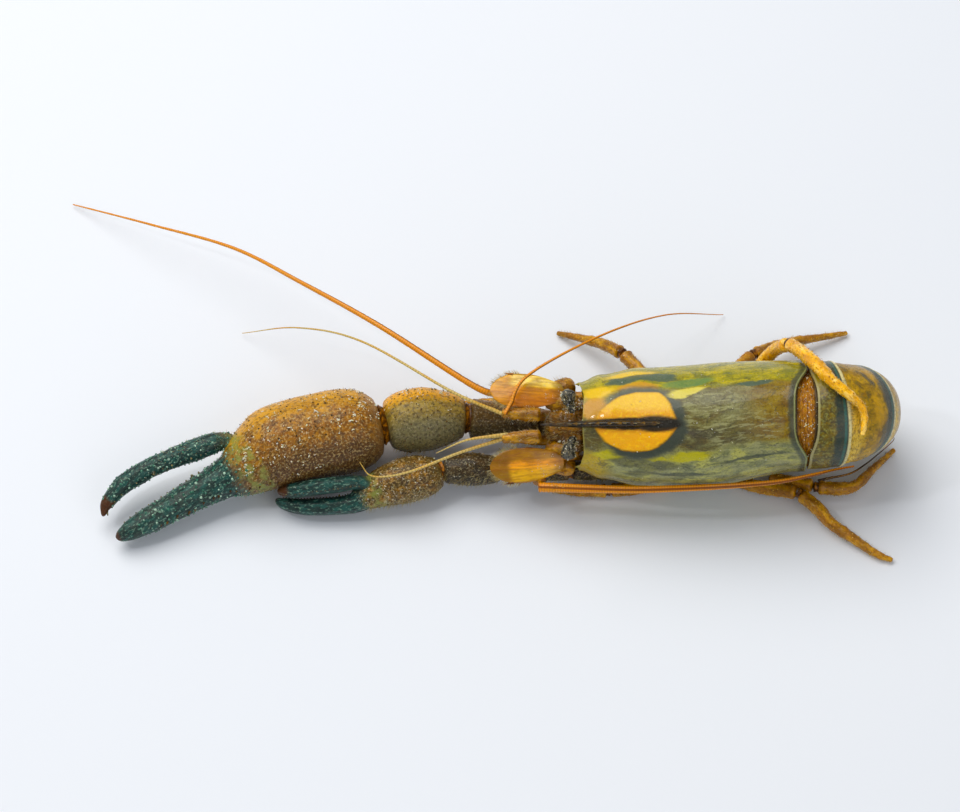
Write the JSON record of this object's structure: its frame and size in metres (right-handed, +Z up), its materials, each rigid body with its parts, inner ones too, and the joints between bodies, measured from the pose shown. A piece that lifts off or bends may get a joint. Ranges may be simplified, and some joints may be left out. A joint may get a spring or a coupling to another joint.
{
  "type": "river prawn",
  "caption": "Raw freshwater river prawn with its head on: long claws stretched forward, one bigger than the other, and the tail curled under it.",
  "frame": {"origin": "middle of the small flat spot under the curled tail that the prawn rests on", "axes": "+X runs from the head and the claws towards the tail, +Z is up, and -Y is the prawn's left side, where the smaller claw is"},
  "size_m": [0.2273, 0.1139, 0.0436],
  "materials": {
    "olive_shell": "wet, glossy shell, olive green and golden brown with slate bands",
    "amber_membrane": "wet orange-brown skin between two shells",
    "amber_scale": "thin translucent yellow to amber shell",
    "orange_leg": "translucent orange-brown shell with bristles",
    "claw_shell": "khaki to brown shell set with small dark bumps",
    "teal_finger": "dark blue-green granulated shell with a brown tip",
    "black_eye": "glossy black eye"
  },
  "bodies": {
    "root": {"abdomen_segment_1": "olive_shell", "abdomen_segment_2": "olive_shell", "abdomen_segment_3": "olive_shell", "abdomen_segment_4": "olive_shell", "abdomen_segment_5": "olive_shell", "abdomen_segment_6": "olive_shell", "antenna_knob_left": "amber_scale", "antenna_knob_right": "amber_scale", "antenna_left": "orange_leg", "antenna_right": "orange_leg", "antenna_scale_left": "amber_scale", "antenna_scale_right": "amber_scale", "antenna_stem_left": "amber_scale", "antenna_stem_right": "amber_scale", "antennule_left_back": "orange_leg", "antennule_left_long": "orange_leg", "antennule_left_short": "orange_leg", "antennule_right_back": "orange_leg", "antennule_right_long": "orange_leg", "antennule_stem_left": "amber_scale", "antennule_stem_right": "amber_scale", "carapace": "olive_shell", "claw_left_carpus": "claw_shell", "claw_left_dactylus": "teal_finger", "claw_left_ischium": "claw_shell", "claw_left_merus": "claw_shell", "claw_left_palm": "claw_shell", "claw_right_carpus": "claw_shell", "claw_right_dactylus": "teal_finger", "claw_right_ischium": "claw_shell", "claw_right_merus": "claw_shell", "claw_right_palm": "claw_shell", "eye_left": "black_eye", "eye_right": "black_eye", "head_core": "olive_shell", "maxilliped_left": "orange_leg", "maxilliped_right": "orange_leg", "neck_membrane": "amber_membrane", "slender_leg_left": "orange_leg", "slender_leg_right": "orange_leg", "telson": "olive_shell", "thorax_underside": "olive_shell", "uropod_inner_left": "olive_shell", "uropod_inner_right": "olive_shell", "uropod_outer_left": "olive_shell", "uropod_outer_right": "olive_shell", "walking_leg_3_left_shin": "orange_leg", "walking_leg_3_left_thigh": "orange_leg", "walking_leg_3_right_shin": "orange_leg", "walking_leg_3_right_thigh": "orange_leg", "walking_leg_4_left_shin": "orange_leg", "walking_leg_4_left_thigh": "orange_leg", "walking_leg_4_right_shin": "orange_leg", "walking_leg_4_right_thigh": "orange_leg", "walking_leg_5_left_shin": "orange_leg", "walking_leg_5_left_thigh": "orange_leg", "walking_leg_5_right_shin": "orange_leg", "walking_leg_5_right_thigh": "orange_leg"}
  },
  "joints": []
}
